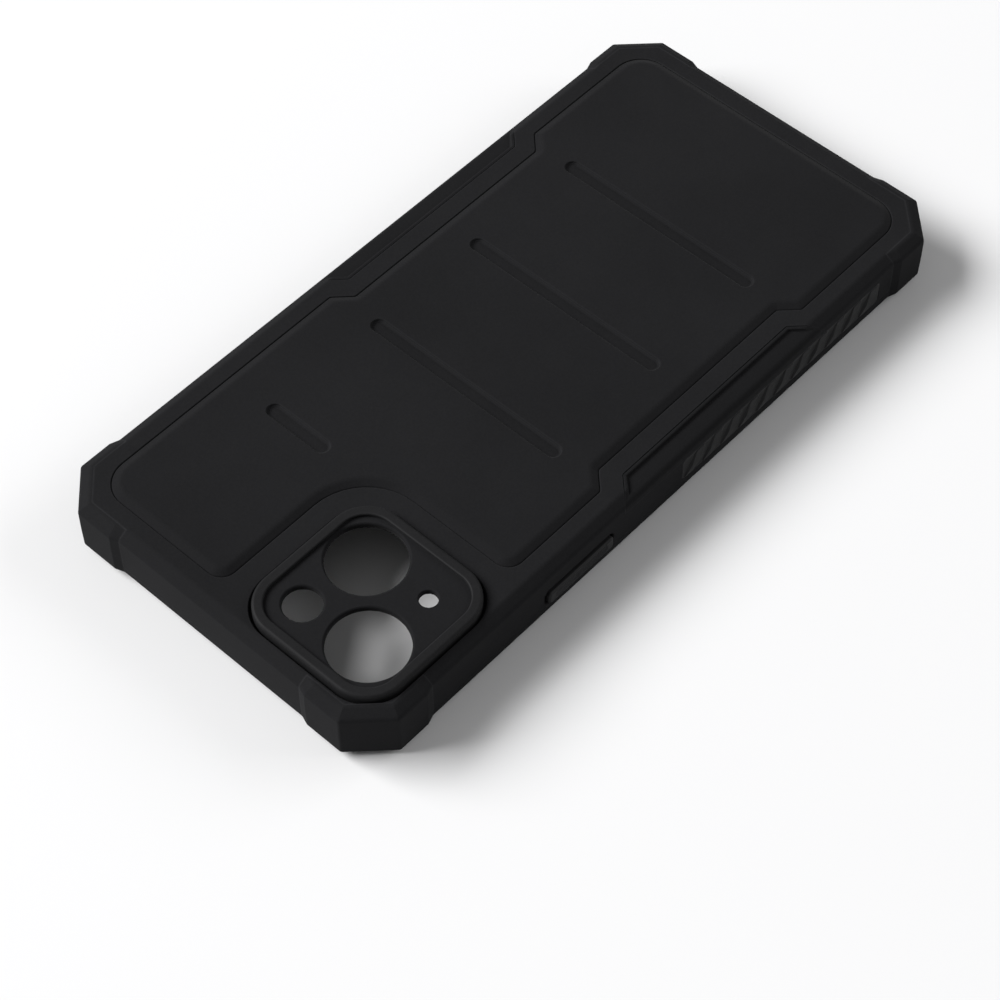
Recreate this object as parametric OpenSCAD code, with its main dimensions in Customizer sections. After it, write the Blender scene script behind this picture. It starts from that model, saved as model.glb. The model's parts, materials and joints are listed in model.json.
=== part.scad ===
// Soft protective case for a flat rectangular handset.
// The case lies on its front lip with its back up: +Z is out of the back, +Y is the camera end,
// the side keys are on -X (power) and +X (volume). The origin is the middle of the front plane.

/* [Handset] */
// Width of the handset that the case holds
phone_w = 71.6; // [71:0.1:72]
// Length of the handset
phone_l = 147.6; // [147:0.1:148]
// Thickness of the handset without its camera
phone_t = 7.8; // [7.5:0.1:8.1]
// Corner radius of the handset
phone_r = 9.8; // [9.4:0.1:10.2]
// Play between the handset and each wall
play = 0.2; // [0.1:0.05:0.3]

/* [Walls] */
// Thickness of the long side walls
side_wall = 1.9; // [1.85:0.05:2.1]
// Thickness of the short end walls
end_wall = 3.35; // [3.1:0.05:3.6]
// Thickness of the front lip
lip_t = 2.1; // [1.9:0.1:2.3]
// How far the front lip reaches over the edge of the screen
lip_reach = 0.9; // [0.6:0.1:1.2]
// Height of the parting line between the lip and the side frame
parting_z = 3; // [2.8:0.1:3.1]
// Thickness of the flat back plate
plate_t = 1; // [0.8:0.1:1.1]
// Thickness of the rim that overlaps the back plate
rim_t = 1; // [0.9:0.1:1.2]

/* [Corner bumpers] */
// How far a bumper stands proud of the walls
proud = 0.65; // [0.5:0.05:0.8]
// Length of a bumper along the long side
bumper_y = 15.7; // [15:0.1:16.5]
// Length of a bumper along the short end
bumper_x = 16.8; // [16:0.1:17.5]
// Length of the slanted step at each end of a bumper
bumper_step = 1.8; // [1.2:0.1:2.2]
// Size of the 45 degree cut across the corner
corner_cut = 7.1; // [6.8:0.1:7.8]

/* [Back panel] */
// Margin between the bumper outline and the panel on the long sides
panel_margin_x = 5.75; // [5.6:0.05:5.95]
// Margin between the bumper outline and the panel on the short ends
panel_margin_y = 5.9; // [5.7:0.1:6.2]
// Corner radius of the panel
panel_r = 6; // [5:0.5:7]
// Height of the panel above the rim
panel_rise = 0.6; // [0.4:0.1:0.8]
// Width of the step round the edge of the panel
panel_step = 1.2; // [0.8:0.1:1.5]
// Width of a recessed bar
bar_w = 2.9; // [2.2:0.1:3]
// Length of a long recessed bar
bar_l = 45; // [40:1:48]
// Spacing of the recessed bars
bar_pitch = 26.5; // [25:0.5:27]
// Depth of a recessed bar
bar_depth = 0.6; // [0.3:0.1:0.7]
// Shift of the bars toward the camera end
bar_shift = 0.45; // [0:0.05:0.6]

/* [Camera guard] */
// Half width of the square guard ring
guard_half = 15.95; // [15.7:0.05:16]
// Corner radius of the guard ring
guard_r = 7.5; // [7:0.1:8]
// Distance of the guard centre from the long side of the bumpers
guard_x = 19.25; // [19.1:0.05:19.4]
// Distance of the guard centre from the camera end of the bumpers
guard_y = 19.6; // [19.4:0.1:19.8]
// Height of the guard ring above the rim
guard_rise = 1.4; // [1.2:0.1:1.6]
// Radius of a lens hole
lens_r = 7.35; // [7:0.05:7.4]
// Offset of each lens hole from the guard centre, in X and in Y
lens_offset = 6.1; // [5.9:0.1:6.2]
// Radius of the flash hole
flash_r = 3.55; // [3.3:0.05:3.6]
// Radius of the microphone hole
mic_r = 1.7; // [1.4:0.1:1.9]

/* [Side keys and openings] */
// Height of a key pocket
pocket_h = 3.8; // [3.6:0.1:4]
// Gap between a key and its pocket
key_gap = 0.45; // [0.4:0.05:0.55]
// How far a key stands proud of the wall
key_proud = 0.6; // [0.4:0.05:0.6]
// Inward travel of a key
key_travel = 0.5; // [0.4:0.1:0.5]
// Width of the charging opening
port_w = 13; // [12:0.5:14]
// Height of the charging opening
port_h = 6; // [5.5:0.1:6.2]

/* [Grips] */
// Number of slanted ribs on each side
rib_count = 11; // [8:1:11]
// Spacing of the ribs
rib_pitch = 5; // [4.6:0.1:5]
// Width of a rib
rib_w = 2.5; // [2:0.1:2.8]
// Lean of a rib over its height
rib_lean = 3.2; // [2:0.1:3.6]
// How far the ribs stand proud of the wall
rib_proud = 0.45; // [0.3:0.05:0.5]

/* [Hidden] */
$fn = 64;
eps = 0.01;
seam = 0.12;                                   // hairline between pieces that are bonded
pocket_hw = phone_w / 2 + play;                // half sizes of the handset pocket
pocket_hl = phone_l / 2 + play;
pocket_r = phone_r + play;
wall_hw = pocket_hw + side_wall;               // half sizes over the walls
wall_hl = pocket_hl + end_wall;
block_hw = wall_hw + proud;                    // half sizes over the corner bumpers
block_hl = wall_hl + proud;
core_w = 1;                                    // wall left inside a bumper
core_hw = pocket_hw + core_w;
core_hl = pocket_hl + core_w;
core_r = pocket_r + core_w;
window_hw = phone_w / 2 - lip_reach;
window_hl = phone_l / 2 - lip_reach;
window_r = phone_r - lip_reach;

floor_z = lip_t + phone_t + 0.3;               // inner face of the back plate
flange_z = floor_z + plate_t;                  // outer face of the back plate
rim_z = flange_z + rim_t;                      // back surface of the rim
front_z = 0.25;                                // flat of the lip behind its bead
bead_w = 1.2;
front_inset = 2.1;                             // chamfer round the front
front_edge_z = 1.25;
back_inset = 2.1;                              // chamfer round the back
back_edge_z = rim_z - 1.25;

side_run = block_hl - bumper_y;                // half length of the side wall between bumpers
end_run = block_hw - bumper_x;                 // half length of the end wall between bumpers

panel_hw = block_hw - panel_margin_x;
panel_hl = block_hl - panel_margin_y;
panel_foot = 0.1;                              // edge of the panel above the rim
notch_y = [-38, 11.2];                         // straight part of the notch in each long side
notch_depth = 3.3;
cut_gap = [5, 4.6];                            // rim left between the guard and the panel, in x and y
horn_r = 3.2;                                  // round where the panel meets that gap
bar_short = 14.5;

pad_half = panel_hw + 0.4;                     // inner edge of a side pad
pad_y = [-36.3, 9.1];
pad_sink = 0.3;                                // pad surface below its surroundings
pad_low_z = 9.3;
pad_skin = 0.5;                                // wall left behind the pad

key_z = 5.3;                                   // middle of the keys above the front plane
key_cut = 0.8;                                 // 45 degree cut on the corners of a key
power_y = [16.6, 34.3];
volume_up_y = [21.7, 35.2];
volume_down_y = [6.6, 20];
switch_y = [38, 47];
switch_h = 3.6;
stem_h = 1.6;
stem_margin = 2;
stem_play = 0.05;                              // stem short of the handset
web_x = [0.15, 0.6];                           // web between these depths from the pocket
web_play = 0.2;                                // gap between a web and its key
mark_l = 1.5;                                  // bars of the raised marks on the volume keys
mark_w = 0.35;
mark_proud = 0.05;

grip_top_z = 9;
grip_low_z = 3.6;
grip_depth = 0.95;
grip_start_y = -2;
grip_margin = 0.4;                             // strip left before the first rib
rib_margin = 0.3;                              // strip left above and below the ribs
rib_sink = 0.2;

guard_c = [guard_x - block_hw, block_hl - guard_y];
guard_top_z = rim_z + guard_rise;
guard_w = 2;                                   // width of the crest of the ring
guard_wall = 1.4;                              // wall of the ring round the plate
lens_plate_z = [flange_z + 0.6, guard_top_z - 0.7];
plateau_half = 14.5;                           // opening for the raised camera of the handset
plateau_r = 6.5;
flash_offset = 7.7;
mic_offset = 7.25;

speaker_holes = 5;
speaker_r = 0.9;
speaker_pitch = 3;
speaker_start = port_w / 2 + 1.8;              // first speaker hole from the middle
port_r = port_h / 2 - 0.4;
relief_w = 15;                                 // earpiece relief in the lip
relief_depth = lip_reach - 0.2;

// Rectangle of half sizes hw and hl with round corners
module rounded(hw, hl, r) {
    square([2 * hw, 2 * (hl - r)], center = true);
    square([2 * (hw - r), 2 * hl], center = true);
    for (sx = [-1, 1], sy = [-1, 1])
        translate([sx * (hw - r), sy * (hl - r)]) circle(r);
}

// Rectangle of half sizes hw and hl with 45 degree corners
module octagon(hw, hl, cut) {
    polygon([for (s = [[1, 1], [-1, 1], [-1, -1], [1, -1]])
             each s[0] * s[1] > 0
                  ? [[s[0] * hw, s[1] * (hl - cut)], [s[0] * (hw - cut), s[1] * hl]]
                  : [[s[0] * (hw - cut), s[1] * hl], [s[0] * hw, s[1] * (hl - cut)]]]);
}

// Endless bar along Y of half width half, chamfered along its front and back edges
module chamfered_bar(half, sink = 0) {
    points = [[half - front_inset, front_z], [half, front_edge_z],
              [half, back_edge_z - sink], [half - back_inset, rim_z - sink]];
    rotate([90, 0, 0])
        linear_extrude(4 * block_hl, center = true)
            polygon([each points, for (i = [3 : -1 : 0]) [-points[i][0], points[i][1]]]);
}

// Outer envelope of the walls, or of a skin sunk below them
module wall_envelope(sink = 0) {
    intersection() {
        chamfered_bar(wall_hw - sink, sink);
        rotate(90) chamfered_bar(wall_hl - sink, sink);
    }
}

// Outer envelope of the corner bumpers
module block_envelope() {
    diagonal = (block_hw + block_hl - corner_cut) / sqrt(2);
    intersection() {
        chamfered_bar(block_hw);
        rotate(90) chamfered_bar(block_hl);
        rotate(45) chamfered_bar(diagonal);
        rotate(-45) chamfered_bar(diagonal);
    }
}

// Solid of walls, corner cores and rim before anything is cut from it
module blank() {
    intersection() {
        wall_envelope();
        linear_extrude(rim_z) {
            square([2 * wall_hw, 2 * side_run], center = true);
            square([2 * end_run, 2 * wall_hl], center = true);
        }
    }
    intersection() {
        block_envelope();
        union() {
            linear_extrude(flange_z) rounded(core_hw, core_hl, core_r);
            translate([0, 0, flange_z])
                linear_extrude(rim_t)
                    octagon(block_hw - back_inset, block_hl - back_inset,
                            corner_cut - back_inset * (2 - sqrt(2)));
        }
    }
}

// Slab between two heights over the whole case
module between(low, high) {
    translate([0, 0, low])
        linear_extrude(high - low) square([3 * block_hw, 3 * block_hl], center = true);
}

// Outline of the panel, drawn in by inset
module panel_outline(inset) {
    cut = [guard_half + cut_gap[0] + inset, guard_half + cut_gap[1] + inset];
    r = horn_r - inset;
    difference() {
        rounded(panel_hw - inset, panel_hl - inset, panel_r - inset);
        for (side = [-1, 1])
            scale([side, 1]) notch_outline(inset);
        translate(guard_c) rounded(cut[0], cut[1], guard_r + cut_gap[1] + inset);
        translate(guard_c + [-block_hw, 0]) square([2 * block_hw, 2 * cut[1]], center = true);
        translate(guard_c + [0, block_hw]) square([2 * cut[0], 2 * block_hw], center = true);
        translate([inset - panel_hw, guard_c[1] - cut[1]]) corner_waste(r, 1, -1);
        translate([guard_c[0] + cut[0], panel_hl - inset]) corner_waste(r, 1, -1);
    }
}

// What rounding takes off a square corner at the origin, whose material lies toward sx and sy
module corner_waste(r, sx, sy) {
    difference() {
        scale([sx, sy]) translate([-1, -1]) square(r + 1);
        translate([sx * r, sy * r]) circle(r);
    }
}

// Notch in the +X side of the panel
module notch_outline(inset) {
    inner = panel_hw - notch_depth - inset;
    shift = inset * (sqrt(2) - 1);
    polygon([[inner, notch_y[0] - shift], [inner, notch_y[1] + shift],
             [block_hw, notch_y[1] + shift + block_hw - inner],
             [block_hw, notch_y[0] - shift - block_hw + inner]]);
}

// Footprint of the side pad on the +X side, grown by grow
module pad_outline(grow = 0) {
    shift = grow * (sqrt(2) - 1);
    run = block_hw + 1 - pad_half + grow;
    polygon([[pad_half - grow, pad_y[0] - shift], [pad_half - grow, pad_y[1] + shift],
             [block_hw + 1, pad_y[1] + shift + run], [block_hw + 1, pad_y[0] - shift - run]]);
}

// Space that the side pad fills on the +X side; a negative sink reaches past the wall
module pad_space(sink, grow) {
    difference() {
        intersection() {
            wall_envelope(sink);
            translate([0, 0, pad_low_z - grow]) linear_extrude(rim_z) pad_outline(grow);
            translate([0, -block_hl, 0]) cube([block_hw, 2 * block_hl, 2 * rim_z]);
        }
        translate([0, -block_hl, 0]) cube([pocket_hw + pad_skin - grow, 2 * block_hl, flange_z]);
    }
}

// Key outline in the wall plane: u along Y, v along Z, with 45 degree corners
module key_outline(span, height, margin) {
    length = span[1] - span[0] - 2 * margin;
    translate([(span[0] + span[1]) / 2, key_z])
        octagon(length / 2, height / 2 - margin, key_cut);
}

// Extrusion of a wall-plane outline on the +X side, between two distances from the centre
module in_side_wall(from, to) {
    translate([from, 0, 0])
        rotate([90, 0, 90]) linear_extrude(to - from) children();
}

// Outline of the switch opening in the wall plane
module switch_outline(grow = 0) {
    translate([(switch_y[0] + switch_y[1]) / 2, key_z])
        rounded((switch_y[1] - switch_y[0]) / 2 + grow, switch_h / 2 + grow, 1 + grow);
}

// Openings through the port end wall
module port_openings() {
    translate([0, -pocket_hl, key_z])
        rotate([90, 0, 0]) {
            linear_extrude(4 * end_wall, center = true)
                rounded(port_w / 2, port_h / 2, port_r);
            for (side = [-1, 1], i = [0 : speaker_holes - 1])
                translate([side * (speaker_start + i * speaker_pitch), 0, 0])
                    cylinder(r = speaker_r, h = 4 * end_wall, center = true);
        }
}

module side_frame() {
    color("#232325")
    difference() {
        intersection() {
            blank();
            between(parting_z, rim_z);
        }
        translate([0, 0, -eps]) linear_extrude(flange_z + eps) rounded(pocket_hw, pocket_hl, pocket_r);
        translate([0, 0, floor_z]) linear_extrude(rim_z) panel_outline(-seam);
        translate([guard_c[0], guard_c[1], floor_z])
            linear_extrude(rim_z)
                rounded(guard_half + 2 * seam, guard_half + 2 * seam, guard_r + 2 * seam);
        for (side = [0, 1])
            mirror([side, 0, 0]) {
                pad_space(-1, seam);
                grip_strip(seam);
            }
        mirror([1, 0, 0])
            in_side_wall(pocket_hw - 1, block_hw + 1) key_outline(power_y, pocket_h, 0);
        in_side_wall(pocket_hw - 1, block_hw + 1) {
            key_outline(volume_up_y, pocket_h, 0);
            key_outline(volume_down_y, pocket_h, 0);
            switch_outline();
        }
        port_openings();
    }
}

module front_lip() {
    color("#232325")
    difference() {
        union() {
            intersection() {
                blank();
                between(0, parting_z - seam);
            }
            linear_extrude(lip_t)
                rounded(window_hw + bead_w, window_hl + bead_w, window_r + bead_w);
        }
        translate([0, 0, -eps]) linear_extrude(rim_z) rounded(window_hw, window_hl, window_r);
        translate([0, 0, lip_t]) linear_extrude(rim_z) rounded(pocket_hw, pocket_hl, pocket_r);
        translate([-relief_w / 2, window_hl - eps, -eps])
            cube([relief_w, relief_depth, lip_t / 3]);
        port_openings();
    }
}

module back_plate() {
    color("#1e1e20")
    difference() {
        translate([0, 0, floor_z])
            linear_extrude(plate_t)
                rounded(pocket_hw - seam, pocket_hl - seam, pocket_r - seam);
        translate([guard_c[0], guard_c[1], floor_z - eps])
            linear_extrude(plate_t + 2 * eps) rounded(plateau_half, plateau_half, plateau_r);
    }
}

module back_panel() {
    color("#262628")
    difference() {
        union() {
            translate([0, 0, flange_z]) linear_extrude(rim_t + panel_foot) panel_outline(0);
            translate([0, 0, rim_z]) linear_extrude(panel_rise) panel_outline(panel_step);
        }
        for (i = [-1.5 : 1 : 0.5])
            recessed_bar(-bar_l / 2, bar_l / 2, i * bar_pitch + bar_shift);
        recessed_bar(bar_l / 2 - bar_short, bar_l / 2, 1.5 * bar_pitch + bar_shift);
    }
}

// One recessed bar from x0 to x1 at height y along the case
module recessed_bar(x0, x1, y) {
    translate([0, 0, rim_z + panel_rise - bar_depth])
        linear_extrude(2 * bar_depth) {
            translate([x0 + bar_w / 2, y - bar_w / 2]) square([x1 - x0 - bar_w, bar_w]);
            for (x = [x0 + bar_w / 2, x1 - bar_w / 2])
                translate([x, y]) circle(bar_w / 2);
        }
}

module camera_guard() {
    plate_half = guard_half - guard_wall;
    color("#252527")
    translate([guard_c[0], guard_c[1], 0])
        difference() {
            translate([0, 0, flange_z])
                linear_extrude(guard_top_z - flange_z) rounded(guard_half, guard_half, guard_r);
            translate([0, 0, flange_z - eps])
                linear_extrude(lens_plate_z[1] - flange_z + eps)
                    rounded(plate_half, plate_half, guard_r - guard_wall);
            linear_extrude(2 * guard_top_z)
                rounded(guard_half - guard_w, guard_half - guard_w, guard_r - guard_w);
        }
}

module camera_plate() {
    half = guard_half - guard_wall - seam / 2;
    thickness = lens_plate_z[1] - lens_plate_z[0];
    holes = [[lens_offset, -lens_offset, lens_r], [-lens_offset, lens_offset, lens_r],
             [flash_offset, flash_offset, flash_r], [-mic_offset, -mic_offset, mic_r]];
    color("#222224")
    translate([guard_c[0], guard_c[1], lens_plate_z[0]])
        difference() {
            linear_extrude(thickness) rounded(half, half, guard_r - guard_wall);
            for (hole = holes)
                translate([hole[0], hole[1], -thickness])
                    cylinder(r = hole[2], h = 3 * thickness);
        }
}

// Bumper at the +X, +Y corner
module corner_bumper() {
    outline = [[end_run, side_run], [end_run, wall_hl], [end_run + bumper_step, block_hl],
               [block_hw, block_hl], [block_hw, side_run + bumper_step], [wall_hw, side_run]];
    color("#202022")
    difference() {
        intersection() {
            block_envelope();
            linear_extrude(2 * rim_z) polygon(outline);
        }
        blank();
    }
}

// Pad on the +X side
module side_pad() {
    color("#242426") pad_space(pad_sink, 0);
}

// Recess or base of the grip on the +X side, grown by grow
module grip_strip(grow = 0) {
    run = rib_count * rib_pitch + rib_lean / 2;
    translate([wall_hw - grip_depth - grow, grip_start_y - run - grow, grip_low_z - grow])
        cube([grow > 0 ? block_hw : grip_depth, run + 2 * grow, grip_top_z - grip_low_z + 2 * grow]);
}

// Grip on the +X side: a strip with slanted ribs that lean toward the camera end at the front
module side_grip() {
    base_y = grip_start_y - rib_lean / 2 - rib_w / 2 - grip_margin;
    low = grip_low_z + rib_margin;
    high = grip_top_z - rib_margin;
    color("#2a2a2c") {
        grip_strip();
        in_side_wall(wall_hw - rib_sink, wall_hw + rib_proud)
            for (i = [0 : rib_count - 1])
                translate([base_y - i * rib_pitch, 0])
                    polygon([[-rib_w / 2 - rib_lean / 2, high], [rib_w / 2 - rib_lean / 2, high],
                             [rib_w / 2 + rib_lean / 2, low], [-rib_w / 2 + rib_lean / 2, low]]);
    }
}

// Key on the +X side: a head in the pocket and a stem that reaches the handset
module side_key(span) {
    head_x = pocket_hw + web_x[1] + key_travel + web_play;
    middle = (span[0] + span[1]) / 2;
    half = (span[1] - span[0]) / 2 - stem_margin;
    in_side_wall(head_x, wall_hw + key_proud) key_outline(span, pocket_h, key_gap);
    translate([pocket_hw + stem_play, middle - half, key_z - stem_h / 2])
        cube([head_x - pocket_hw, 2 * half, stem_h]);
}

// Thin web that carries the key, set in the pocket behind its head
module key_web(span) {
    half = (span[1] - span[0]) / 2 - stem_margin + web_play;
    middle = (span[0] + span[1]) / 2;
    difference() {
        in_side_wall(pocket_hw + web_x[0], pocket_hw + web_x[1]) key_outline(span, pocket_h, 0);
        translate([pocket_hw, middle - half, key_z - stem_h / 2 - web_play])
            cube([2 * web_x[1], 2 * half, stem_h + 2 * web_play]);
    }
}

module power_button() {
    color("#2b2b2d") mirror([1, 0, 0]) side_key(power_y);
}

module power_button_web() {
    color("#1c1c1e") mirror([1, 0, 0]) key_web(power_y);
}

// Key with a raised mark of crossed bars
module volume_up_button() {
    color("#2b2b2d") {
        side_key(volume_up_y);
        key_mark(volume_up_y, true);
    }
}

module volume_up_web() {
    color("#1c1c1e") key_web(volume_up_y);
}

// Key with a raised mark of one bar
module volume_down_button() {
    color("#2b2b2d") {
        side_key(volume_down_y);
        key_mark(volume_down_y, false);
    }
}

module volume_down_web() {
    color("#1c1c1e") key_web(volume_down_y);
}

// Raised mark in the middle of a key: a bar along Z, crossed by a bar along Y when crossed
module key_mark(span, crossed) {
    translate([wall_hw + key_proud, (span[0] + span[1]) / 2, key_z]) {
        cube([2 * mark_proud, mark_w, mark_l], center = true);
        if (crossed)
            cube([2 * mark_proud, mark_l, mark_w], center = true);
    }
}

side_frame();
front_lip();
back_plate();
back_panel();
camera_guard();
camera_plate();
corner_bumper();  // bumper_camera_volume
mirror([1, 0, 0]) corner_bumper();  // bumper_camera_power
mirror([0, 1, 0]) corner_bumper();  // bumper_port_volume
rotate(180) corner_bumper();  // bumper_port_power
side_pad();  // side_pad_volume
mirror([1, 0, 0]) side_pad();  // side_pad_power
side_grip();  // side_grip_volume
mirror([1, 0, 0]) side_grip();  // side_grip_power
power_button();
power_button_web();
volume_up_button();
volume_up_web();
volume_down_button();
volume_down_web();
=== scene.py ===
"""Looks of a soft rugged phone case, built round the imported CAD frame.

Shapes are made in millimetres, and piece() scales them to metres.
"""

import json
import math

import bmesh
import bpy
from mathutils import Matrix, Vector

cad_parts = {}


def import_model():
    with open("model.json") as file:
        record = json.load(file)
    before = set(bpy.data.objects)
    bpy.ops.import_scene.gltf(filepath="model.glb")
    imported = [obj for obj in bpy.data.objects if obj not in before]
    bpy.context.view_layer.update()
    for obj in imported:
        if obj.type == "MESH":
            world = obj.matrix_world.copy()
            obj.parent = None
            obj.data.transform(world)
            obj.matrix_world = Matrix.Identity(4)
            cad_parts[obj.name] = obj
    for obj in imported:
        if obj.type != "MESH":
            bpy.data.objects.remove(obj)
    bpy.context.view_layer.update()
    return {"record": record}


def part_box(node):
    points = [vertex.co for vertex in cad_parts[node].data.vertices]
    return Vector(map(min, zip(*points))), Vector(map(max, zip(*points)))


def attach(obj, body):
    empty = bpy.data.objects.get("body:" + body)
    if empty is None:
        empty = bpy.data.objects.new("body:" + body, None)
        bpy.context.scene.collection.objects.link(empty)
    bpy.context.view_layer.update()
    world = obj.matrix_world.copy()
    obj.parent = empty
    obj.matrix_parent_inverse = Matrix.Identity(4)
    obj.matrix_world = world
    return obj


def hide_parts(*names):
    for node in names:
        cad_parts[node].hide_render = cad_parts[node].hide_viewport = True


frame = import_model()

MM = 0.001
SHARPEST = 0.06       # smallest corner radius that a ring keeps
PAST = 0.3            # how far a cutter runs past the surface that it opens
FLARE_TURN = 75       # degrees of the round that a cutter leaves on an edge
FAR = 100             # well outside the case
UNDER, OVER = -30, 30 # heights well below and above it
TUCK = 0.02           # keeps faces that touch in the CAD from lying in one plane


# Sizes taken from the frame

def box(node):
    """Lowest and highest corner of a CAD node, in millimetres."""
    low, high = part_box(node)
    return low / MM, high / MM


frame_low, frame_high = box("side_frame")
bumper_low, bumper_high = box("bumper_camera_volume")
plate_low, plate_high = box("back_plate")
panel_high = box("back_panel")[1]
guard_low, guard_high = box("camera_guard")
lens_low, lens_high = box("camera_plate")
pad_low = box("side_pad_volume")[0]
grip_low, grip_high = box("side_grip_volume")

# Half widths, half lengths and corner radii
SEAM = 0.12           # gap between the back plate and the pocket's wall
LIP_REACH = 1.1       # how far the lip reaches in from the pocket's wall
wall_hw, wall_hl = frame_high.x, frame_high.y
block_hw, block_hl = bumper_high.x, bumper_high.y
panel_hw, panel_hl = panel_high.x, panel_high.y
pocket_hw, pocket_hl, pocket_r = plate_high.x + SEAM, plate_high.y + SEAM, 10.0
window_hw, window_hl, window_r = pocket_hw - LIP_REACH, pocket_hl - LIP_REACH, pocket_r - LIP_REACH
guard_c = (guard_low + guard_high).xy / 2
guard_half = (guard_high.x - guard_low.x) / 2
guard_r = 7.5

# Heights, from the front of the case to its back
bead_z = box("front_lip")[0].z
front_z = bumper_low.z
lip_t = 2.1
parting_z = frame_low.z
floor_z = plate_low.z
flange_z = plate_high.z
rim_z = frame_high.z
panel_z = panel_high.z

# Corner bumpers, and the chamfers of the walls
CORNER_CUT = 7.1
BUMPER_STEP = 1.8
CORE = 1.0            # thickness of the wall that a bumper is moulded on
end_run, side_run = bumper_low.x, bumper_low.y
front_inset, front_edge_z = 2.1, 1.25
back_inset, back_edge_z = 2.1, rim_z - 1.25


# Outlines and solids

class Outline:
    """A closed anticlockwise outline with round corners. All of its rings have the same number of points."""

    def __init__(self, corners, radii, steps=6):
        self.corners = [Vector(corner) for corner in corners]
        self.radii = radii if isinstance(radii, list) else [radii] * len(corners)
        self.steps = steps

    def ring(self, inset=0.0):
        points = []
        count = len(self.corners)
        for i, corner in enumerate(self.corners):
            before = (corner - self.corners[i - 1]).normalized()
            after = (self.corners[(i + 1) % count] - corner).normalized()
            normal_in = Vector((-before.y, before.x))
            normal_out = Vector((-after.y, after.x))
            side = 1 if before.cross(after) > 0 else -1
            mitre = (normal_in + normal_out) / (1 + normal_in.dot(normal_out))
            radius = max(self.radii[i] - side * inset, SHARPEST)
            centre = corner + mitre * (inset + side * radius)
            start = math.atan2(-side * normal_in.y, -side * normal_in.x)
            turn = -before.angle_signed(after)
            for k in range(self.steps + 1):
                angle = start + turn * k / self.steps
                points.append(centre + radius * Vector((math.cos(angle), math.sin(angle))))
        return points


class Round:
    """A circle that can be used as an Outline."""

    def __init__(self, radius, steps=64):
        self.radius = radius
        self.steps = steps

    def ring(self, inset=0.0):
        turn = 2 * math.pi / self.steps
        points = [Vector((math.cos(k * turn), math.sin(k * turn))) for k in range(self.steps)]
        return [point * (self.radius - inset) for point in points]


def rectangle(hw, hl, radius, steps=12):
    """Outline of a rectangle with round corners, given its half sizes."""
    return Outline([(hw, -hl), (hw, hl), (-hw, hl), (-hw, -hl)], radius, steps)


def four_quarters(quarter):
    """Corners of an outline that is symmetric both ways, from those of its first quarter."""
    half = quarter + [(-x, y) for x, y in reversed(quarter)]
    return half + [(-x, -y) for x, y in half]


def octagon(hw, hl, cut, radius, steps=4):
    """Outline of a rectangle with 45 degree corners, given its half sizes."""
    return Outline(four_quarters([(hw, hl - cut), (hw - cut, hl)]), radius, steps)


def rounded_path(points, radii, steps=5):
    """Path through points, given as (inset, height), whose inner corners are arcs."""
    path = [Vector(points[0])]
    for i in range(1, len(points) - 1):
        corner = Vector(points[i])
        back = Vector(points[i - 1]) - corner
        ahead = Vector(points[i + 1]) - corner
        half = back.angle(ahead) / 2
        reach = min(radii[i - 1] / math.tan(half), 0.49 * min(back.length, ahead.length))
        radius = reach * math.tan(half)
        centre = corner + (back.normalized() + ahead.normalized()).normalized() * radius / math.sin(half)
        first = corner + back.normalized() * reach - centre
        last = corner + ahead.normalized() * reach - centre
        turn = -first.angle_signed(last)
        for k in range(steps + 1):
            angle = turn * k / steps
            path.append(centre + Matrix.Rotation(angle, 2) @ first)
    path.append(Vector(points[-1]))
    return path


# Ways to place a shape: its outline's u and v, and its height w, become x, y and z

def flat(u, v, w):
    return u, v, w


def facing_front(u, v, w):
    return u, v, -w


def on_volume_side(u, v, w):
    return w, u, v


def on_power_side(u, v, w):
    return -w, u, v


def on_port_end(u, v, w):
    return u, -w, v


def make_object(name, points, faces):
    """Linked object of a mesh whose faces all look outwards."""
    mesh = bpy.data.meshes.new(name)
    mesh.from_pydata(points, [], faces)
    work = bmesh.new()
    work.from_mesh(mesh)
    bmesh.ops.recalc_face_normals(work, faces=work.faces)
    work.to_mesh(mesh)
    work.free()
    made = bpy.data.objects.new(name, mesh)
    bpy.context.scene.collection.objects.link(made)
    return made


def solid(name, outline, profile, place=flat, centre=(0, 0), looped=False):
    """Solid whose walls join the outline's rings at each (inset, height) of profile.

    Its ends are capped, unless the profile is looped and goes round the section of a ring.
    """
    points = []
    for inset, height in profile:
        points += [place(p.x + centre[0], p.y + centre[1], height) for p in outline.ring(inset)]
    count = len(points) // len(profile)
    faces = []
    for level in range(len(profile) if looped else len(profile) - 1):
        low = level * count
        high = (level + 1) % len(profile) * count
        for i in range(count):
            after = (i + 1) % count
            faces.append((low + i, low + after, high + after, high + i))
    if not looped:
        faces.append(tuple(reversed(range(count))))
        faces.append(tuple(range(len(points) - count, len(points))))
    return make_object(name, points, faces)


def block(low, high):
    """Plain box, only ever used to cut or keep."""
    centre = (Vector(low) + Vector(high)) / 2
    half = (Vector(high) - Vector(low)) / 2
    sides = rectangle(half.x, half.y, SHARPEST, 1)
    return solid("block", sides, [(0, low[2]), (0, high[2])], centre=centre.xy)


def flared(surface, depth, edge):
    """Profile of a cutter that opens a surface and leaves its edge rounded."""
    steps = 5
    path = [(0, surface - depth), (0, surface - edge)]
    for k in range(1, steps + 1):
        turn = math.radians(FLARE_TURN * k / steps)
        path.append((-edge * (1 - math.cos(turn)), surface - edge * (1 - math.sin(turn))))
    path.append((path[-1][0] - PAST * math.tan(turn), path[-1][1] + PAST))
    return path


def apply_modifiers(target):
    """Makes the modified mesh of an object its own mesh."""
    graph = bpy.context.evaluated_depsgraph_get()
    mesh = bpy.data.meshes.new_from_object(target.evaluated_get(graph))
    target.modifiers.clear()
    target.data = mesh


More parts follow.
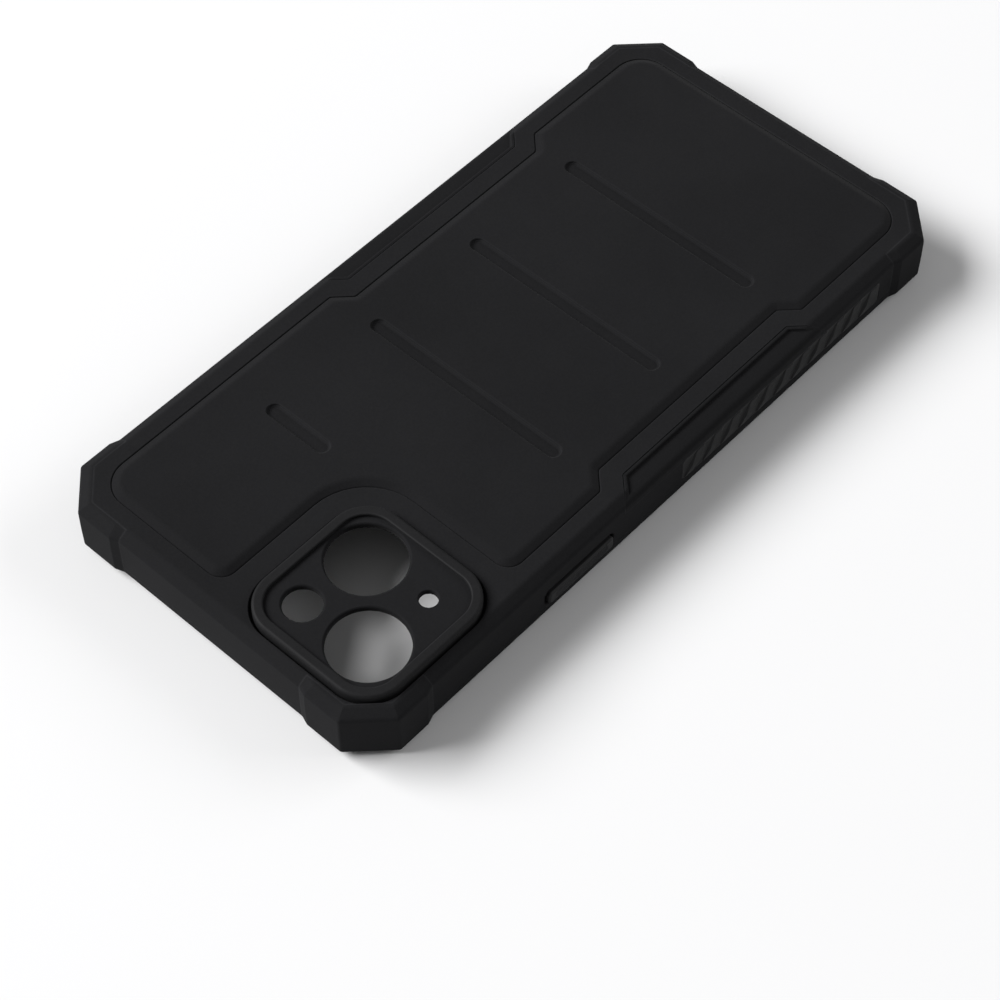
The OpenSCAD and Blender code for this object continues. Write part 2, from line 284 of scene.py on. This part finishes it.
def combine(target, others, operation):
    """Combines each of the others with target. They are removed afterwards."""
    for other in others:
        modifier = target.modifiers.new(operation.lower(), "BOOLEAN")
        modifier.operation = operation
        modifier.solver = "EXACT"
        modifier.object = other
    apply_modifiers(target)
    for other in others:
        bpy.data.objects.remove(other)
    return target


def cut(target, *others):
    return combine(target, others, "DIFFERENCE")


def keep(target, *others):
    return combine(target, others, "INTERSECT")


def add(target, *others):
    return combine(target, others, "UNION")


def mirrored(source, name, flip_x=False, flip_y=False):
    """A copy of an object's mesh, flipped across the case's centre planes."""
    made = source.copy()
    made.data = source.data.copy()
    made.name = name
    bpy.context.scene.collection.objects.link(made)
    flip = Matrix.Diagonal((-1 if flip_x else 1, -1 if flip_y else 1, 1, 1))
    made.data.transform(flip)
    if flip_x != flip_y:
        made.data.flip_normals()
    return made


def piece(made, name, body, material, nodes):
    """Finishes a piece: smooth shading with creases, its material, and its place in the frame."""
    speck = 0.001
    crease = math.radians(32)
    made.name = name
    work = bmesh.new()
    work.from_mesh(made.data)
    bmesh.ops.remove_doubles(work, verts=work.verts, dist=speck)
    bmesh.ops.dissolve_degenerate(work, edges=work.edges, dist=speck)
    for face in work.faces:
        face.smooth = True
    for edge in work.edges:
        edge.smooth = not edge.is_manifold or edge.calc_face_angle() < crease
    bmesh.ops.scale(work, vec=(MM, MM, MM), verts=work.verts)
    work.to_mesh(made.data)
    work.free()
    made.data.name = name
    made.data.materials.clear()
    made.data.materials.append(material)
    weighted = made.modifiers.new("even_normals", "WEIGHTED_NORMAL")
    weighted.keep_sharp = True
    weighted.weight = 80
    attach(made, body)
    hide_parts(*nodes)
    return made


# Materials

class Nodes:
    """A material's node tree, with short ways to add to it. Coordinates are the object's own."""

    def __init__(self, name):
        self.material = bpy.data.materials.new(name)
        self.material.use_nodes = True
        self.tree = self.material.node_tree
        self.tree.nodes.clear()
        self.shader = self.add("ShaderNodeBsdfPrincipled")
        output = self.add("ShaderNodeOutputMaterial")
        self.join(self.shader, "BSDF", output, "Surface")
        self.place = self.add("ShaderNodeTexCoord")

    def add(self, kind, **settings):
        node = self.tree.nodes.new(kind)
        for key, value in settings.items():
            setattr(node, key, value)
        return node

    def join(self, source, output, target, name):
        self.tree.links.new(source.outputs[output], target.inputs[name])

    def paint(self, colour, shade, output):
        """Gives the shader a colour that is scaled by a socket."""
        scaled = self.add("ShaderNodeVectorMath", operation="SCALE")
        scaled.inputs[0].default_value = colour
        self.join(shade, output, scaled, "Scale")
        self.join(scaled, "Vector", self.shader, "Base Color")

    def noise(self, scale, detail, roughness):
        node = self.add("ShaderNodeTexNoise")
        node.inputs["Scale"].default_value = scale
        node.inputs["Detail"].default_value = detail
        node.inputs["Roughness"].default_value = roughness
        self.join(self.place, "Object", node, "Vector")
        return node

    def spread(self, source, output, low, high, to_low, to_high):
        """Maps a socket from one range to another."""
        node = self.add("ShaderNodeMapRange")
        node.inputs["From Min"].default_value = low
        node.inputs["From Max"].default_value = high
        node.inputs["To Min"].default_value = to_low
        node.inputs["To Max"].default_value = to_high
        self.join(source, output, node, "Value")
        return node

    def math(self, operation, first, second):
        """Sum or product of two sockets, each given as (node, output)."""
        node = self.add("ShaderNodeMath", operation=operation)
        for socket, (source, output) in zip(node.inputs, (first, second)):
            self.tree.links.new(source.outputs[output], socket)
        return node

    def bump(self, height, output, strength, distance, before=None):
        node = self.add("ShaderNodeBump")
        node.inputs["Strength"].default_value = strength
        node.inputs["Distance"].default_value = distance * MM
        self.join(height, output, node, "Height")
        if before is not None:
            self.join(before, "Normal", node, "Normal")
        return node

    def edges(self, radius):
        """1 along an edge, where the rounded shading normal parts from the true one, 0 on an open face."""
        soft = self.add("ShaderNodeBevel", samples=4)
        soft.inputs["Radius"].default_value = radius * MM
        true = self.add("ShaderNodeNewGeometry")
        dot = self.add("ShaderNodeVectorMath", operation="DOT_PRODUCT")
        self.join(soft, "Normal", dot, 0)
        self.join(true, "Normal", dot, 1)
        return self.spread(dot, "Value", 0.995, 0.9, 0.0, 1.0)


def rubber(name, colour, roughness, grain=0.05, grain_scale=9000, edge_highlight_gain=1.6, sheen=0.01,
           specular=0.03, dots=False):
    """Matte moulded elastomer: fine grain, slow changes of tone and gloss, edges polished by handling to a
    lower roughness, and a painted highlight that lightens the colour along edges.
    """
    n = Nodes(name)
    cloud = n.noise(scale=28, detail=4, roughness=0.6)
    speck = n.noise(scale=2600, detail=2, roughness=0.5)
    edge_polish_and_highlight = n.edges(radius=0.35)
    tone = n.spread(cloud, "Fac", 0.3, 0.7, 0.88, 1.12)
    fleck = n.spread(speck, "Fac", 0.35, 0.65, 0.93, 1.07)
    shade = n.math("MULTIPLY", (tone, "Result"), (fleck, "Result"))
    # Painted highlight: the colour is made lighter along edges, standing in for the light that the edges
    # catch.
    painted_edge_highlight = n.spread(edge_polish_and_highlight, "Result", 0.0, 1.0, 1.0, edge_highlight_gain)
    shade = n.math("MULTIPLY", (shade, "Value"), (painted_edge_highlight, "Result"))
    n.paint(colour, shade, "Value")
    gloss = n.spread(cloud, "Fac", 0.3, 0.7, roughness - 0.04, roughness + 0.05)
    polish = n.spread(edge_polish_and_highlight, "Result", 0.0, 1.0, 0.0, -0.1)
    fine = n.spread(speck, "Fac", 0.3, 0.7, -0.03, 0.03)
    rough = n.math("ADD", (gloss, "Result"), (polish, "Result"))
    rough = n.math("ADD", (rough, "Value"), (fine, "Result"))
    n.join(rough, "Value", n.shader, "Roughness")
    n.shader.inputs["Sheen Weight"].default_value = sheen
    n.shader.inputs["Sheen Roughness"].default_value = 0.5
    n.shader.inputs["Specular IOR Level"].default_value = specular
    pores = n.noise(grain_scale, detail=2, roughness=0.6)
    waves = n.noise(scale=900, detail=3, roughness=0.5)
    surface = n.bump(pores, "Fac", strength=0.35, distance=grain)
    surface = n.bump(waves, "Fac", strength=0.12, distance=grain * 2, before=surface)
    if dots:
        surface = n.bump(dot_lattice(n), "Result", strength=0.6, distance=0.05, before=surface)
    n.join(surface, "Normal", n.shader, "Normal")
    return n.material


def dot_lattice(n, pitch=0.9, radius=0.32):
    """Height of the small round dots that keep a smooth handset from sticking to the inner face."""
    cell = n.add("ShaderNodeVectorMath", operation="SCALE")
    cell.inputs["Scale"].default_value = 1 / (pitch * MM)
    n.join(n.place, "Object", cell, 0)
    part = n.add("ShaderNodeVectorMath", operation="FRACTION")
    n.join(cell, "Vector", part, 0)
    middle = n.add("ShaderNodeVectorMath", operation="SUBTRACT")
    middle.inputs[1].default_value = (0.5, 0.5, 0.5)
    n.join(part, "Vector", middle, 0)
    level = n.add("ShaderNodeVectorMath", operation="MULTIPLY")
    level.inputs[1].default_value = (1, 1, 0)
    n.join(middle, "Vector", level, 0)
    reach = n.add("ShaderNodeVectorMath", operation="LENGTH")
    n.join(level, "Vector", reach, 0)
    return n.spread(reach, "Value", radius, radius * 0.6, 0.0, 1.0)


def floor_material():
    n = Nodes("pale_floor")
    cloud = n.noise(scale=3, detail=3, roughness=0.5)
    tone = n.spread(cloud, "Fac", 0.3, 0.7, 0.985, 1.0)
    n.paint((0.8, 0.8, 0.805), tone, "Result")
    n.shader.inputs["Roughness"].default_value = 0.8
    n.shader.inputs["Specular IOR Level"].default_value = 0.2
    return n.material


WALL_COLOUR = (0.0132, 0.0132, 0.0141)
COATING = {"colour": (0.0111, 0.0111, 0.0120), "roughness": 0.7, "grain": 0.03, "grain_scale": 12000,
           "sheen": 0.04}

# The edge gains below set how much the painted edge highlight lightens the colour along edges.
soft_black = rubber("moulded_elastomer", WALL_COLOUR, 0.76)
bumper_black = rubber("bumper_elastomer", WALL_COLOUR, 0.76, edge_highlight_gain=2.0)
panel_black = rubber("velvet_coating", **COATING)
guard_black = rubber("guard_elastomer", (0.0110, 0.0110, 0.0117), 0.6, grain=0.03, edge_highlight_gain=2.2,
                     specular=0.1)
# Bar floors: rougher and of coarser grain than the panel, and coloured a little lighter than it, painted
# light that offsets the shade in the sunken floors.
recess_grain_painted_light = rubber("recess_grain_and_painted_light", (0.0115, 0.0115, 0.0123), 0.72, grain=0.06, grain_scale=5000)
lens_black = rubber("lens_plate_coating", **COATING)
pad_black = rubber("pad_elastomer", (0.0104, 0.0104, 0.0111), 0.65)
grip_black = rubber("grip_elastomer", (0.0110, 0.0110, 0.0116), 0.52, grain=0.06, grain_scale=6000,
                    specular=0.15)
key_black = rubber("key_elastomer", (0.0105, 0.0105, 0.0111), 0.5, grain=0.03, edge_highlight_gain=2.2, specular=0.2)
web_black = rubber("web_elastomer", (0.0075, 0.0075, 0.0079), 0.7)
inner_black = rubber("inner_elastomer", (0.0097, 0.0097, 0.0104), 0.68, grain=0.04, dots=True)


# Outer body, from which the frame, the lip, the bumpers and the pads are cut

def case_outline():
    """Outline over the walls and the corner bumpers, with the slanted step at each end of a bumper."""
    quarter = [(wall_hw, side_run), (block_hw, side_run + BUMPER_STEP), (block_hw, block_hl - CORNER_CUT),
               (block_hw - CORNER_CUT, block_hl), (end_run + BUMPER_STEP, block_hl), (end_run, wall_hl)]
    radii = [1.2, 0.7, 0.9, 0.9, 0.7, 1.2]
    return Outline(four_quarters(quarter), (radii + radii[::-1]) * 2, steps=5)


def outer_body():
    """The case as one body without openings: walls that bulge slightly between two chamfers."""
    bulge = 0.05
    points = [(front_inset + 4, front_z), (front_inset, front_z), (bulge, front_edge_z),
              (0, (front_edge_z + back_edge_z) / 2),
              (bulge, back_edge_z), (back_inset, rim_z), (back_inset + 3, rim_z)]
    return solid("outer_body", case_outline(), rounded_path(points, [0.8, 0.9, 30, 1.1, 1.6], 6))


def corner_zone(sx, sy):
    """Space of one bumper: a corner block less the core that it is moulded on."""
    core = rectangle(pocket_hw + CORE, pocket_hl + CORE, pocket_r + CORE, 16)
    inset = back_inset + 0.6
    cap = octagon(block_hw - inset, block_hl - inset, CORNER_CUT - inset * (2 - math.sqrt(2)), SHARPEST)
    xs = sorted((sx * end_run, sx * FAR))
    ys = sorted((sy * side_run, sy * FAR))
    zone = block((xs[0], ys[0], UNDER), (xs[1], ys[1], OVER))
    return cut(zone, solid("core", core, [(0, 2 * UNDER), (0, flange_z + 0.05)]),
               solid("cap", cap, [(0, flange_z - 0.1), (0, 2 * OVER)]))


def shell_part(low_z, high_z):
    """Slice of the outer body between two heights, less the space of the bumpers."""
    made = keep(outer_body(), block((-FAR, -FAR, low_z), (FAR, FAR, high_z)))
    cut(made, *[corner_zone(sx, sy) for sx in (-1, 1) for sy in (-1, 1)])
    return made


def pocket_outline():
    return rectangle(pocket_hw, pocket_hl, pocket_r, 16)


def pocket(top):
    """The handset's space, from the lip up."""
    return solid("pocket", pocket_outline(), [(0, lip_t), (0, top)])


# Openings, keys and grips

def key_span(node):
    """Middle and half length of a key along the case, and its middle and half height."""
    low, high = box(node)
    return (low.y + high.y) / 2, (high.y - low.y) / 2, (low.z + high.z) / 2, (high.z - low.z) / 2


# The web, the body, the side and the raised mark of each key
KEYS = {
    "power_button": ("power_button_web", "power_key", on_power_side, None),
    "volume_up_button": ("volume_up_web", "volume_up_key", on_volume_side, "plus"),
    "volume_down_button": ("volume_down_web", "volume_down_key", on_volume_side, "minus"),
}
KEY_GAP = 0.45        # between a key and the wall round it
KEY_CUT = 0.8         # corner of the key's opening
OPENING_Z = 5.3       # middle height of the switch, the port and the speaker holes
THROUGH_SIDE = 3.5    # depth of a cutter that opens a side wall
THROUGH_END = 5.5     # the same for the port end


def key_opening_outline(half, half_z):
    return octagon(half + KEY_GAP, half_z + KEY_GAP, KEY_CUT, 0.25)


def key_pocket(node):
    middle, half, z, half_z = key_span(node)
    place = KEYS[node][2]
    profile = flared(wall_hw, THROUGH_SIDE, 0.35)
    return solid("key_pocket", key_opening_outline(half, half_z), profile, place, (middle, z))


def switch_opening():
    y, half, half_z, radius = 42.5, 4.5, 1.8, 1.0
    profile = flared(wall_hw, THROUGH_SIDE, 0.6)
    return solid("switch", rectangle(half, half_z, radius, 8), profile, on_volume_side, (y, OPENING_Z))


def port_opening():
    half, half_z, radius = 6.5, 3.0, 2.6
    profile = flared(wall_hl, THROUGH_END, 0.7)
    return solid("port", rectangle(half, half_z, radius, 10), profile, on_port_end, (0, OPENING_Z))


def speaker_holes():
    """A row of round holes on each side of the port."""
    count, radius, pitch, start = 5, 0.9, 3.0, 8.3
    spots = [side * (start + i * pitch) for side in (-1, 1) for i in range(count)]
    profile = flared(wall_hl, THROUGH_END, 0.3)
    return [solid("speaker", Round(radius, 32), profile, on_port_end, (x, OPENING_Z)) for x in spots]


def parting_groove():
    """Fine V along the parting line between the frame and the lip."""
    section = [(-0.5, parting_z - 0.4), (0.2, parting_z), (-0.5, parting_z + 0.4)]
    return solid("groove", case_outline(), section, looped=True)


def panel_outline():
    """Outline of the back panel, with a notch in each long side and a corner left to the camera guard."""
    notch = 3.3
    gap_x, gap_y = 5.0, 4.6
    low_y, high_y = -38.0, 11.2
    cut_x, cut_y = guard_c.x + guard_half + gap_x, guard_c.y - guard_half - gap_y
    side = [(panel_hw, low_y - notch), (panel_hw - notch, low_y), (panel_hw - notch, high_y),
            (panel_hw, high_y + notch)]
    corners = [(panel_hw, -panel_hl)] + side + [(panel_hw, panel_hl), (cut_x, panel_hl), (cut_x, cut_y)]
    corners += [(-panel_hw, cut_y)] + [(-x, y) for x, y in reversed(side)] + [(-panel_hw, -panel_hl)]
    big, step, small = 6, 3.2, [1.0] * len(side)
    radii = [big] + small + [big, step, guard_r + gap_y, step] + small + [big]
    return Outline(corners, radii, 10)


def guard_outline():
    return rectangle(guard_half, guard_half, guard_r, 20)


def pad_outline():
    """Outline of a side pad seen from the back; it runs out past the wall."""
    low_y, high_y = -36.3, 9.1
    far = block_hw + 3
    run = far - pad_low.x
    return Outline([(far, low_y - run), (far, high_y + run), (pad_low.x, high_y), (pad_low.x, low_y)], 0.8, 5)


def grip_outline(grow):
    """Outline of a grip strip, as (along the case, up)."""
    half = (grip_high.y - grip_low.y) / 2 + grow
    half_z = (grip_high.z - grip_low.z) / 2 + grow
    return rectangle(half, half_z, 0.8 + grow, 6)


GRIP_CENTRE = ((grip_low.y + grip_high.y) / 2, (grip_low.z + grip_high.z) / 2)


def side_frame():
    made = shell_part(parting_z, OVER)
    cut(made, parting_groove(), pocket(flange_z))
    guard_gap = 0.45
    depth = rim_z - flange_z + 0.6
    cut(made, solid("panel_opening", panel_outline(), flared(rim_z, depth, 0.2)))
    ring = rectangle(guard_half + guard_gap, guard_half + guard_gap, guard_r + guard_gap, 20)
    cut(made, solid("guard_opening", ring, flared(rim_z, depth, 0.3), centre=guard_c))
    pad_space = solid("pad_space", pad_outline(), flared(rim_z, rim_z - pad_low.z, 0.16))
    cut(made, mirrored(pad_space, "pad_space_power", flip_x=True), pad_space)
    grip_gap, grip_depth = 0.04, 0.95
    for place in (on_volume_side, on_power_side):
        profile = flared(wall_hw, grip_depth, 0.1)
        cut(made, solid("grip_space", grip_outline(grip_gap), profile, place, GRIP_CENTRE))
    cut(made, *[key_pocket(node) for node in KEYS], switch_opening(), port_opening(), *speaker_holes())
    return piece(made, "frame_shell", "case", soft_black, ["side_frame"])


def front_lip():
    """Lip with a rounded bead round the screen, and a relief in it for the earpiece."""
    made = shell_part(UNDER, parting_z)
    cut(made, parting_groove(), pocket(rim_z))
    window = rectangle(window_hw, window_hl, window_r, 16)
    cut(made, solid("window", window, [(-0.3, UNDER), (-0.3, OVER)]))
    width, seat, start = 1.25, lip_t - 0.05, (0, 0.9)
    section = [start, (0, bead_z), (-width, bead_z), (-width, seat), (0, seat), start]
    section = rounded_path(section, [0.55, 0.6, 0.02, 0.25], 6)[:-1]
    add(made, solid("bead", window, section, looped=True))
    relief = rectangle(7.5, 0.9, 0.4, 4)
    cut(made, solid("relief", relief, flared(-bead_z, 0.7, 0.2), facing_front, (0, window_hl)))
    cut(made, port_opening())
    return piece(made, "front_lip_shell", "case", soft_black, ["front_lip"])


def bumpers():
    made = keep(outer_body(), corner_zone(1, 1))
    for end, flip_y in (("camera", False), ("port", True)):
        for side, flip_x in (("volume", False), ("power", True)):
            copy = mirrored(made, end + "_" + side, flip_x, flip_y)
            node = "bumper_" + copy.name
            piece(copy, node + "_shell", "case", bumper_black, [node])
    bpy.data.objects.remove(made)


def back_plate():
    """Thin plate under the panel, with a cove round its inner face."""
    cove, steps, rim_inset = 0.9, 6, SEAM - 0.08
    path = [(SEAM + cove, floor_z)]
    for k in range(1, steps + 1):
        turn = math.radians(90 * k / steps)
        path.append((SEAM + cove * (1 - math.sin(turn)), floor_z - cove * (1 - math.cos(turn))))
    path += [(rim_inset, floor_z - cove), (rim_inset, flange_z)]
    made = solid("plate", pocket_outline(), path)
    opening = rectangle(14.5, 14.5, 6.5, 12)
    cut(made, solid("plateau", opening, flared(-floor_z, 2.5, 0.3), facing_front, guard_c))
    return piece(made, "back_plate_shell", "case", inner_black, ["back_plate"])


def back_panel():
    """Raised panel with four sunken bars, whose floors are rougher, have coarser grain, and are a little
    lighter in colour than the panel as painted light against their shade.
    """
    points = [(0.03, flange_z + TUCK), (0.03, rim_z - 0.14), (1.6, panel_z), (2.6, panel_z)]
    made = solid("panel", panel_outline(), rounded_path(points, [0.5, 2.2], 6))
    half_w, half_l, half_short, pitch, shift, depth = 1.45, 22.5, 7.25, 26.5, 0.45, 0.6
    bars = [(0, half_l, i * pitch + shift) for i in (-1.5, -0.5, 0.5)]
    bars.append((half_l - half_short, half_short, 1.5 * pitch + shift))
    bar_floor = panel_z - depth
    profile = [(0.5, bar_floor), (0.34, bar_floor + 0.05)] + flared(panel_z, 0.3, 0.3)[1:]
    for x, half, y in bars:
        cut(made, solid("bar", rectangle(half, half_w, half_w * 0.98, 12), profile, centre=(x, y)))
    piece(made, "back_panel_shell", "case", panel_black, ["back_panel"])
    # The bar floors get the second material, whose lighter colour is painted light against the shade in the
    # recesses.
    made.data.materials.append(recess_grain_painted_light)
    for face in made.data.polygons:
        centre = face.center / MM
        in_bar = abs(centre.x) < half_l and any(abs(centre.y - y) < half_w for x, half, y in bars)
        if in_bar and centre.z < bar_floor + 0.04 and face.normal.z > 0.3:
            face.material_index = 1
    return made


def camera_guard():
    """Ring with a rounded crest that laps over the edge of the camera plate."""
    top = guard_high.z
    seat = lens_high.z + TUCK
    foot = flange_z + TUCK
    side = (0, (flange_z + top) / 2)
    section = [side, (0, top), (2.0, top), (2.0, seat), (1.42, seat), (1.42, foot), (0, foot), side]
    section = rounded_path(section, [0.75, 1.15, 0.05, 0.02, 0.02, 0.02], 8)[:-1]
    made = solid("guard", guard_outline(), section, centre=guard_c, looped=True)
    return piece(made, "camera_guard_ring", "case", guard_black, ["camera_guard"])


def camera_plate():
    """Plate inside the guard, with the holes that the frame's record lists."""
    half = (lens_high.x - lens_low.x) / 2
    outline = rectangle(half, half, guard_r - 1.4, 16)
    profile = [(0.1, lens_low.z), (0, lens_low.z + 0.1), (0, lens_high.z)]
    made = solid("lens_plate", outline, profile, centre=guard_c)
    for mount in frame["record"]["mounts"]:
        if mount["kind"] == "bore":
            radius = mount["dims"]["r_mm"]
            centre = Vector(mount["pos_m"]).xy / MM
            profile = flared(lens_high.z, 2.5, 0.5 if radius > 3 else 0.3)
            cut(made, solid("hole", Round(radius, 72), profile, centre=centre))
    return piece(made, "camera_plate_cover", "case", lens_black, ["camera_plate"])


def side_pads():
    """Pads level with the chamfer, each with a fine raised strip round a sunken face."""
    made = outer_body()
    top = rim_z - TUCK
    edge = [(0.05, pad_low.z + TUCK), (0.05, top - 0.2), (0.1, top - 0.07), (0.28, top)]
    keep(made, solid("pad_space", pad_outline(), edge))
    cut(made, block((-FAR, -FAR, UNDER), (pocket_hw + 0.5, FAR, flange_z + TUCK)))
    step = [(0.95, rim_z - 0.6), (0.8, rim_z - 0.45), (0.75, rim_z - 0.3), (0.68, rim_z - 0.12),
            (0.5, rim_z), (0.2, rim_z + 0.2)]
    cut(made, solid("face", pad_outline(), step))
    copy = mirrored(made, "power", flip_x=True)
    piece(copy, "side_pad_power_strip", "case", pad_black, ["side_pad_power"])
    piece(made, "side_pad_volume_strip", "case", pad_black, ["side_pad_volume"])


def side_grips():
    """Grip strips. Each rib leans, has sloping flanks and is highest along a ridge at mid height."""
    surface = wall_hw - 0.04
    middle = GRIP_CENTRE[1]
    half_z = (grip_high.z - grip_low.z) / 2
    lean, base_half, top_half, pitch, count = 3.2, 1.5, 1.05, 5.0, 11
    first = grip_high.y - lean / 2 - base_half - 0.2
    proud = grip_high.x - surface

    def leaning(u, w, v):
        """Places a rib on the wall, leaning along the case as it goes up and lower towards its ends."""
        rise = 1 - 0.75 * abs(v - middle) / half_z
        shift = lean * (middle - v) / (2 * half_z)
        return surface + w * (rise if w > 0 else 1), u + shift, v

    base = [(0.1, surface - 0.8), (0, surface - 0.7), (0, surface - 0.08), (0.08, surface)]
    made = solid("grip", grip_outline(0), base, on_volume_side, GRIP_CENTRE)
    root = -0.4
    section = Outline([(-base_half, root), (base_half, root), (base_half, 0),
                       (top_half, proud), (-top_half, proud), (-base_half, 0)], 0.14, 3)
    ends = [(0.3, 0.2), (0.1, 0.32), (0, 0.6)]
    levels = [(inset, grip_low.z + z) for inset, z in ends] + [(0, middle)]
    levels += [(inset, grip_high.z - z) for inset, z in reversed(ends)]
    add(made, *[solid("rib", section, levels, leaning, (first - i * pitch, 0)) for i in range(count)])
    copy = mirrored(made, "power", flip_x=True)
    piece(copy, "side_grip_power_ribs", "case", grip_black, ["side_grip_power"])
    piece(made, "side_grip_volume_ribs", "case", grip_black, ["side_grip_volume"])


def key_grooves(top, place, middle, half, z, clear):
    """Cutters of the fine grooves along a key's face, which leave its middle clear."""
    rows, pitch, groove_half = 5, 0.42, 0.11
    cutters = []
    for row in range(rows):
        rise = (row - (rows - 1) / 2) * pitch
        reach = half - (1.9 if row in (0, rows - 1) else 1.6)
        run = (reach - clear) / 2
        spots = (-(reach + clear) / 2, (reach + clear) / 2)
        if not clear:
            run, spots = reach, (0,)
        line = rectangle(run, groove_half, groove_half * 0.95, 4)
        for u in spots:
            cutters.append(solid("line", line, flared(top, 0.14, 0.08), place, (middle + u, z + rise)))
    return cutters


def key(node):
    """A key with a stem, fine grooves and a mark of its own, and the web that carries it."""
    web, body, place, mark = KEYS[node]
    middle, half, z, half_z = key_span(node)
    top = wall_hw + 0.6
    under = top - 1.2
    points = [(0.2, under), (0, under + 0.15), (0, top - 0.3), (0.35, top), (0.6, top)]
    outline = octagon(half, half_z, KEY_CUT - 0.27, 0.3)
    made = solid("key", outline, rounded_path(points, [0.1, 0.3, 0.5], 4), place, (middle, z))
    stem_half, stem_half_z, slack = half + KEY_GAP - 2, 0.8, 0.2
    profile = [(0.1, pocket_hw + 0.05), (0, pocket_hw + 0.2), (0, under + 0.5)]
    add(made, solid("stem", rectangle(stem_half, stem_half_z, 0.25, 4), profile, place, (middle, z)))
    if mark:
        cut(made, solid("dish", rectangle(1.35, 1.0, 0.6, 6), flared(top, 0.16, 0.12), place, (middle, z)))
    for groove in key_grooves(top, place, middle, half, z, 1.9 if mark else 0):
        cut(made, groove)
    profile = [(0, top - 0.4), (0, top - 0.08), (0.04, top - 0.01), (0.1, top + 0.04)]
    stroke, reach = 0.22, 0.75
    strokes = {"plus": [(stroke, reach), (reach, stroke)], "minus": [(stroke, reach)], None: []}
    for half_u, half_v in strokes[mark]:
        add(made, solid("mark", rectangle(half_u, half_v, 0.15, 4), profile, place, (middle, z)))
    piece(made, node + "_cap", body, key_black, [node])
    top = pocket_hw + 0.6
    profile = [(0.02, pocket_hw + 0.15), (0.02, top)]
    skin = solid("web", key_opening_outline(half, half_z), profile, place, (middle, z))
    hole = rectangle(stem_half + slack, stem_half_z + slack, 0.35, 4)
    cut(skin, solid("hole", hole, flared(top, 1.5, 0.1), place, (middle, z)))
    piece(skin, web + "_skin", "case", web_black, [web])


side_frame()
front_lip()
bumpers()
back_plate()
back_panel()
camera_guard()
camera_plate()
side_pads()
side_grips()
for node in KEYS:
    key(node)


# Floor, light and camera

def direction(azimuth, elevation):
    """Unit vector away from the case, from angles in degrees."""
    a, e = math.radians(azimuth), math.radians(elevation)
    return Vector((math.cos(a) * math.cos(e), math.sin(a) * math.cos(e), math.sin(e)))


def hang(name, data, place, away):
    """Object of a light or a camera that looks back along away."""
    holder = bpy.data.objects.new(name, data)
    holder.location = place * MM
    holder.rotation_euler = (-away).to_track_quat("-Z", "Y").to_euler()
    bpy.context.scene.collection.objects.link(holder)
    return holder


def floor():
    half, radius, thickness, gap = 3000, 400, 20, 0.05
    made = solid("studio_floor", rectangle(half, half, radius, 8), [(0, -thickness), (0, -gap)])
    made.data.transform(Matrix.Scale(MM, 4))
    made.data.materials.append(floor_material())


def softbox(name, azimuth, elevation, distance, size, power):
    """Area light that faces the case from a direction given in degrees."""
    away = direction(azimuth, elevation)
    light = bpy.data.lights.new(name, "AREA")
    light.shape = "RECTANGLE"
    light.size, light.size_y = (length * MM for length in size)
    light.energy = power
    hang(name, light, away * distance, away)


def world(strength):
    made = bpy.data.worlds.new("studio")
    made.use_nodes = True
    background = made.node_tree.nodes["Background"]
    background.inputs["Color"].default_value = (1, 1, 1, 1)
    background.inputs["Strength"].default_value = strength
    bpy.context.scene.world = made


def camera(aim, azimuth, elevation, distance, lens):
    """Camera that looks at aim, in millimetres, from a direction given in degrees."""
    away = direction(azimuth, elevation)
    data = bpy.data.cameras.new("camera")
    data.lens = lens
    data.sensor_width = 36
    data.clip_start = 0.01
    bpy.context.scene.camera = hang("camera", data, Vector(aim) + away * distance, away)


floor()
world(0.2)
softbox("side_light", azimuth=34, elevation=37, distance=5000, size=(3750, 2500), power=420)
softbox("fill_light", azimuth=238, elevation=28, distance=5000, size=(3750, 2100), power=80)
camera(aim=(-18.5, 24.6, 6.7), azimuth=132.4, elevation=53.7, distance=464.5, lens=95.55)
bpy.context.scene.view_settings.view_transform = "Standard"
